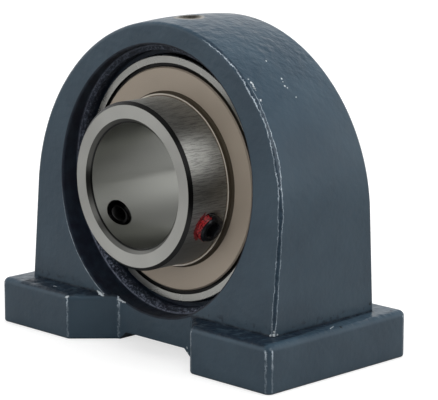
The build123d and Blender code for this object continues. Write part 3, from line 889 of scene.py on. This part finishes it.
# The thread lock's smears lie toward the front face
streaks = noise(tree, coordinates(tree), LOCK_STREAKS, detail=4.0)
smears = 0.0
for side in ("right", "left"):
    start, outward, screw_radius = screw_seat(side)
    from_start = coordinates(tree, start)
    screw_distance = length(tree, add_node(
        tree, "ShaderNodeVectorMath", {0: from_start, 1: outward}, operation="CROSS_PRODUCT")[0])
    ragged = add(tree, screw_distance, multiply(tree, streaks, SMEAR_RAGGEDNESS))
    smears = any_of(tree, smears, multiply(
        tree, on_nose, calculate(tree, "GREATER_THAN", along_direction(tree, from_start, outward), 0),
        ramp_from(tree, ragged, screw_radius, SMEAR_EDGES),
        ramp(tree, components(tree, from_start)[1], *SMEAR_FRONT)))
join(tree, finish["Base Color"], coat(
    tree, colour, (wheel_lines, WHEEL_AND_LOW_NOSE_SHADE), (in_bore, BORE_SHADE), (low_nose_shade, WHEEL_AND_LOW_NOSE_SHADE),
    (bore_chamfer, CHAMFER_SCALE_AND_SHADE), (bore_corner, SCALE_AND_SHADE_DARK), (nose_chamfer, SCALE_AND_SHADE_DARK),
    (smears, lock_colour(tree, streaks))))
join(tree, finish["Metallic"], calculate(tree, "SUBTRACT", 1, smears))
join(tree, finish["Roughness"], ramp(tree, on_nose, 0, 1, BORE_ROUGHNESS, NOSE_ROUGHNESS))
dress("inner_ring", inner_steel)


# ---- Flingers ----
# Pressed discs of thin plate with a tan passivated finish, whose hubs grip the inner ring. Painted shade darkens
# the bend round each hub, the inner part of the hub's end and the disc's rim, and a painted highlight runs round
# the outer edge of the hub's end.
FLINGER_TAN = (0.49, 0.417, 0.339, 1)
FLINGER_SHADE = (0.45, 0.382, 0.309, 1)
FLINGER_BEND_SHADE = (0.060, 0.046, 0.029, 1)
FLINGER_HUB_HIGHLIGHT = (0.78, 0.73, 0.64, 1)
FLINGER_HUB_SHADE = (0.20, 0.16, 0.12, 1)
FLINGER_RIM_SHADE = (0.06, 0.050, 0.040, 1)
FLINGER_ROUGHNESS = (0.38, 0.44)
FLINGER_METAL = 0.30
HUB_SLICE = MM / 100
HUB_SLOPES = (0.9, 0.8)
HUB_SKIN = MM / 5
HUB_FACE_SLOPES = (0.92, 0.97)
HUB_SOFTNESS = MM / 10
HUB_EDGE = (-0.45 * MM, -0.35 * MM)
BEND_WIDTH = 0.3 * MM
BEND_SHADE_REACH = (2 * MM, MM)
RIM_SLOPES = (0.8, 0.5)
RIM_REACH = (3 * MM, 4 * MM)

flinger_plate, tree, finish, radius, colour = ground_metal(
    "flinger_plate", FLINGER_TAN, FLINGER_SHADE, FLINGER_ROUGHNESS)
finish["Metallic"].default_value = FLINGER_METAL
hub_radius = max(shaft_radii("flinger_front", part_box("flinger_front")[0].y + HUB_SLICE))
slope = sideways(tree)
hub_face = multiply(tree, ramp(tree, slope, *HUB_FACE_SLOPES),
                    ramp(tree, radius, hub_radius, hub_radius - HUB_SOFTNESS))
hub_edge = ramp_from(tree, radius, hub_radius, HUB_EDGE)
# A painted highlight at the outer edge of the hub's end, and painted shade inside it
hub_highlight_and_shade = blend_colours(tree, hub_edge, FLINGER_HUB_SHADE, FLINGER_HUB_HIGHLIGHT)
on_hub = multiply(tree, ramp(tree, slope, *HUB_SLOPES), ramp(tree, radius, hub_radius - HUB_SKIN, hub_radius))
at_bend = band(tree, radius, hub_radius + HUB_SOFTNESS, hub_radius + BEND_WIDTH, HUB_SOFTNESS)
# Painted shade in the bend round the hub and on the disc's rim
bend_shade = multiply(tree, any_of(tree, on_hub, at_bend), ramp_from(tree, radius, hub_radius, BEND_SHADE_REACH))
rim_shade = multiply(tree, ramp(tree, slope, *RIM_SLOPES), ramp_from(tree, radius, hub_radius, RIM_REACH))
join(tree, finish["Base Color"], coat(
    tree, colour, (hub_face, hub_highlight_and_shade), (bend_shade, FLINGER_BEND_SHADE), (rim_shade, FLINGER_RIM_SHADE)))
for end in ("front", "rear"):
    dress("flinger_" + end, flinger_plate)


# ---- Set screws ----
# Two M8 x 1 cup-point socket screws of black oxided alloy steel, 120 degrees apart in the inner ring's nose.
# Each has its real thread, a chamfer at both ends, a broached hexagon, and a patch of red thread lock. Painted
# shade blackens the cup point, and the thread's pale crests are partly worn and partly painted glints.
UP = Vector((0, 0, 1))
FORWARD = Vector((0, -1, 0))
OXIDE_LIGHT = (0.022, 0.024, 0.028, 1)
OXIDE_DARK = (0.010, 0.010, 0.012, 1)
OXIDE_ROUGHNESS = (0.22, 0.32)
OXIDE_SPECULAR = 0.35
POINT_SHADE = (0.004, 0.004, 0.004, 1)
POINT_SHADE_REACH = (3.4 * MM, 2.6 * MM)
OXIDE_METAL = (0.4, 1.0)
CREST_LIGHT = (0.30, 0.31, 0.33, 1)
CREST_DARK = (0.07, 0.07, 0.08, 1)
CREST_ROUGHNESS = (0.25, 0.35)
CREST_FINENESS = MM / 100
LOCK_ROUGHNESS = (0.2, 0.4)
LOCK_STREAK_DEPTH = 0.05 * MM
SCREW_PITCH = 1.0 * MM
SCREW_THREAD_DEPTH = 0.55 * MM
SCREW_SMOOTHING = 35
SOCKET_ACROSS = 4.0 * MM
SOCKET_DEPTH = 4.0 * MM
SOCKET_CHAMFER = MM / 5
CUT_ROOM = MM / 10
CUP_RADIUS = 2.5 * MM
CUP_DEPTH = 1.5 * MM
TOP_CHAMFER = 0.6 * MM
POINT_CHAMFER = 0.9 * MM
BLANK_ROOM = 0.02 * MM
BLANK_SLICE = MM / 100
LOCK_BUILD = 0.06 * MM
LOCK_REACH = 4.8 * MM
LOCK_TOP_MARGIN = 0.7 * MM
LOCK_CHORD = 1.1 * MM
LOCK_SMOOTHING = 40

screw_black, tree, finish, radius, colour = ground_metal(
    "black_oxide", OXIDE_LIGHT, OXIDE_DARK, OXIDE_ROUGHNESS)
finish["Specular IOR Level"].default_value = OXIDE_SPECULAR
# Painted shade blackens the cup point near the bore
point_shade = ramp_from(tree, radius, bore_radius, POINT_SHADE_REACH)
join(tree, finish["Base Color"], coat(tree, colour, (point_shade, POINT_SHADE)))
join(tree, finish["Metallic"], ramp(tree, point_shade, 0, 1, *OXIDE_METAL))
# The crests' pale finish is partly bare wear and partly painted glints
worn_crest_glint = ground_metal("worn_crest_glint", CREST_LIGHT, CREST_DARK, CREST_ROUGHNESS)[0]
thread_lock, tree, finish = new_material("thread_lock")
streaks = noise(tree, coordinates(tree), LOCK_STREAKS, detail=4.0)
join(tree, finish["Base Color"], lock_colour(tree, streaks))
join(tree, finish["Roughness"], ramp(tree, streaks, *MOST_SHADES, *LOCK_ROUGHNESS))
join(tree, finish["Normal"], relief(tree, (streaks, LOCK_STREAK_DEPTH, 1.0)))


def stand_on(piece, turn, start):
    """Turns a piece made about Z onto a screw's own axis, in its mesh."""
    piece.data.transform(Matrix.Translation(start) @ turn)
    piece.data.update()


def blank_top(blank):
    return max(vertex.co.z for vertex in blank.data.vertices)


def set_screw(name, major, point, top):
    """A screw from its cup point to its socket, along Z."""
    screw = threaded_bar(name, major - SCREW_THREAD_DEPTH, major, SCREW_PITCH, point - MM, top + MM)
    blank = cylinder("blank", CUP_RADIUS, point, point + POINT_CHAMFER, top_radius=major + BLANK_ROOM)
    edit(blank)
    shank = top - point - POINT_CHAMFER - TOP_CHAMFER
    for rise, ratio in ((shank, 1), (TOP_CHAMFER, 1 - TOP_CHAMFER / major)):
        select_where(blank, lambda place: place.z > blank_top(blank) - BLANK_SLICE)
        bpy.ops.mesh.extrude_region_move(TRANSFORM_OT_translate={"value": (0, 0, rise)})
        bpy.ops.transform.resize(value=(ratio, ratio, 1))
    bpy.ops.object.mode_set(mode="OBJECT")
    combine(screw, blank, "INTERSECT")
    corner_radius = SOCKET_ACROSS / math.sqrt(3)
    cutters = (
        cylinder("hexagon", corner_radius, top - SOCKET_DEPTH, top + MM, sides=6),
        cylinder("countersink", 0, top - corner_radius, top + CUT_ROOM,
                 top_radius=corner_radius + SOCKET_CHAMFER),
        cylinder("cup", CUP_RADIUS - CUT_ROOM, point - CUT_ROOM, point + CUP_DEPTH, top_radius=0),
    )
    for cutter in cutters:
        combine(screw, cutter, "DIFFERENCE")
    return screw


def wear_and_glint_crests(piece, major):
    """Gives the thread's crests, and they alone, the piece's second finish."""
    for face in piece.data.polygons:
        corners = [piece.data.vertices[index].co for index in face.vertices]
        if min(math.hypot(corner.x, corner.y) for corner in corners) > major - CREST_FINENESS:
            face.material_index = 1


def lock_patch(name, major, top, facing):
    """Thread lock dried in the threads on one side of a screw, between two heights."""
    low, high = top - LOCK_REACH, top - LOCK_TOP_MARGIN
    minor = major - SCREW_THREAD_DEPTH
    patch = threaded_bar(name, minor + 2 * LOCK_BUILD, major + LOCK_BUILD, SCREW_PITCH, low, high)
    combine(patch, cylinder("core", minor - LOCK_BUILD, low - MM, high + MM), "DIFFERENCE")
    edit(patch)
    cut_flat(facing * LOCK_CHORD, facing, clear_inner=True)
    bpy.ops.object.mode_set(mode="OBJECT")
    return patch


for side in ("right", "left"):
    node = "set_screw_" + side
    start, outward, major = screw_seat(side)
    heights = [(vertex.co - start).dot(outward) for vertex in frame["nodes"][node].data.vertices]
    turn = UP.rotation_difference(outward).to_matrix().to_4x4()
    screw = set_screw(node + "_threaded", major, min(heights), max(heights))
    patch = lock_patch("thread_lock_" + side, major, max(heights), turn.inverted() @ FORWARD)
    wear_and_glint_crests(screw, major)
    dressed_pieces = (
        # piece, its finishes, and up to what angle its faces are smoothed
        (screw, (screw_black, worn_crest_glint), SCREW_SMOOTHING),
        (patch, (thread_lock,), LOCK_SMOOTHING),
    )
    for piece, finishes, angle in dressed_pieces:
        for material in finishes:
            piece.data.materials.append(material)
        stand_on(piece, turn, start)
        smooth(piece, angle)
        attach(piece, node)
    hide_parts(node)


# ---- Studio ----
# A pale floor in a pale room with a bright panel at the right. The room is darker overhead and behind the
# camera, and so is the floor there where metal mirrors it. Three softboxes stand round the bearing: overhead,
# at its right side, and in front.
CAMERA_PLACE = Vector((0.426617, -0.415259, 0.162149))
CAMERA_TARGET = Vector((0.009552, -0.001052, 0.041775))
CAMERA_LENS = 176.96
CAMERA_NEAR = 0.01
WHITE = (1, 1, 1, 1)
FLOOR_SIZE = 12.0
FLOOR_GAP = 0.02 * MM
FLOOR_SHADE = (0.44, 0.44, 0.44, 1)
FLOOR_MIRRORED = (0.02, 0.02, 0.02, 1)
FLOOR_DARK_REACH = (0.08, 0.16)
FLOOR_DARK_SPREAD = (1.2, 0.7)
FLOOR_GLOW = (0.66, 1.0)
FLOOR_GLOW_REACH = (0.6, 2.0)
ROOM_HEIGHTS = (0.30, 0.95)
ROOM_SHADES = (1.0, 0.15)
ROOM_NEAR_TURN = (0.35, 0.65)
ROOM_NEAR_SHARES = (1.0, 0.1)
ROOM_FILL = 0.17
PANEL_SIDE = Vector((0.80, -0.10, 0.60)).normalized()
PANEL_EDGES = (0.87, 0.97)
PANEL_GLOW = 3.0
LAMPS = (
    # name, place, size, watts
    ("overhead", (-0.05, 0.25, 1.40), 1.40, 27.0),
    ("right_side", (1.05, 0.45, 0.35), 0.90, 3.2),
    ("front", (0.45, -1.30, 0.60), 0.90, 7.6),
)


def aim(item, place):
    """Turns a camera or lamp at a place to look at the bearing."""
    item.rotation_euler = (CAMERA_TARGET - Vector(place)).to_track_quat("-Z", "Y").to_euler()


bpy.ops.object.camera_add(location=CAMERA_PLACE)
camera = bpy.context.object
aim(camera, CAMERA_PLACE)
camera.data.lens = CAMERA_LENS
camera.data.clip_start = CAMERA_NEAR
bpy.context.scene.camera = camera
bpy.context.scene.view_settings.view_transform = "Standard"

bpy.ops.object.select_all(action="DESELECT")
bpy.ops.mesh.primitive_plane_add(size=FLOOR_SIZE, location=(0, 0, -FLOOR_GAP))
floor = bpy.context.object
floor.name = "floor"
pale_floor, tree, finish = new_material("pale_floor")
rays = add_node(tree, "ShaderNodeLightPath", {})
near_side = Vector((CAMERA_PLACE.x, CAMERA_PLACE.y, 0)).normalized()
floor_place = coordinates(tree)
nearer = along_direction(tree, floor_place, near_side)
aside = calculate(tree, "ABSOLUTE", along_direction(tree, floor_place, near_side.cross(UP)))
dark_patch = multiply(tree, rays["Is Glossy Ray"], ramp(tree, nearer, *FLOOR_DARK_REACH),
                      ramp(tree, calculate(tree, "DIVIDE", aside, nearer), *FLOOR_DARK_SPREAD))
join(tree, finish["Base Color"], blend_colours(tree, dark_patch, FLOOR_SHADE, FLOOR_MIRRORED))
finish["Roughness"].default_value = 1
finish["Specular IOR Level"].default_value = 0
finish["Emission Color"].default_value = WHITE
glow = ramp(tree, length(tree, floor_place), *FLOOR_GLOW_REACH, *FLOOR_GLOW)
join(tree, finish["Emission Strength"], multiply(tree, rays["Is Camera Ray"], glow))
floor.data.materials.append(pale_floor)

world = bpy.data.worlds.new("studio")
bpy.context.scene.world = world
world.use_nodes = True
tree = world.node_tree
rays = add_node(tree, "ShaderNodeLightPath", {})
direction = add_node(tree, "ShaderNodeTexCoord", {})["Generated"]
toward_camera = along_direction(tree, direction, near_side)
room = multiply(tree, ramp(tree, components(tree, direction)[2], *ROOM_HEIGHTS, *ROOM_SHADES),
                ramp(tree, toward_camera, *ROOM_NEAR_TURN, *ROOM_NEAR_SHARES))
panel = ramp(tree, along_direction(tree, direction, PANEL_SIDE), *PANEL_EDGES, 0, PANEL_GLOW)
room = calculate(tree, "MAXIMUM", room, panel)
mirrored = multiply(tree, rays["Is Glossy Ray"], calculate(tree, "SUBTRACT", room, ROOM_FILL))
level = add(tree, ROOM_FILL, mirrored)
seen = any_of(tree, rays["Is Camera Ray"], rays["Is Transmission Ray"])
level = add(tree, level, multiply(tree, seen, calculate(tree, "SUBTRACT", 1, level)))
background = tree.nodes["Background"].inputs
background["Color"].default_value = WHITE
join(tree, background["Strength"], level)

for name, place, size, watts in LAMPS:
    bpy.ops.object.light_add(type="AREA", location=place)
    lamp = bpy.context.object
    lamp.name = name
    aim(lamp, place)
    lamp.data.size = size
    lamp.data.energy = watts
    lamp.visible_glossy = False

bpy.context.view_layer.update()
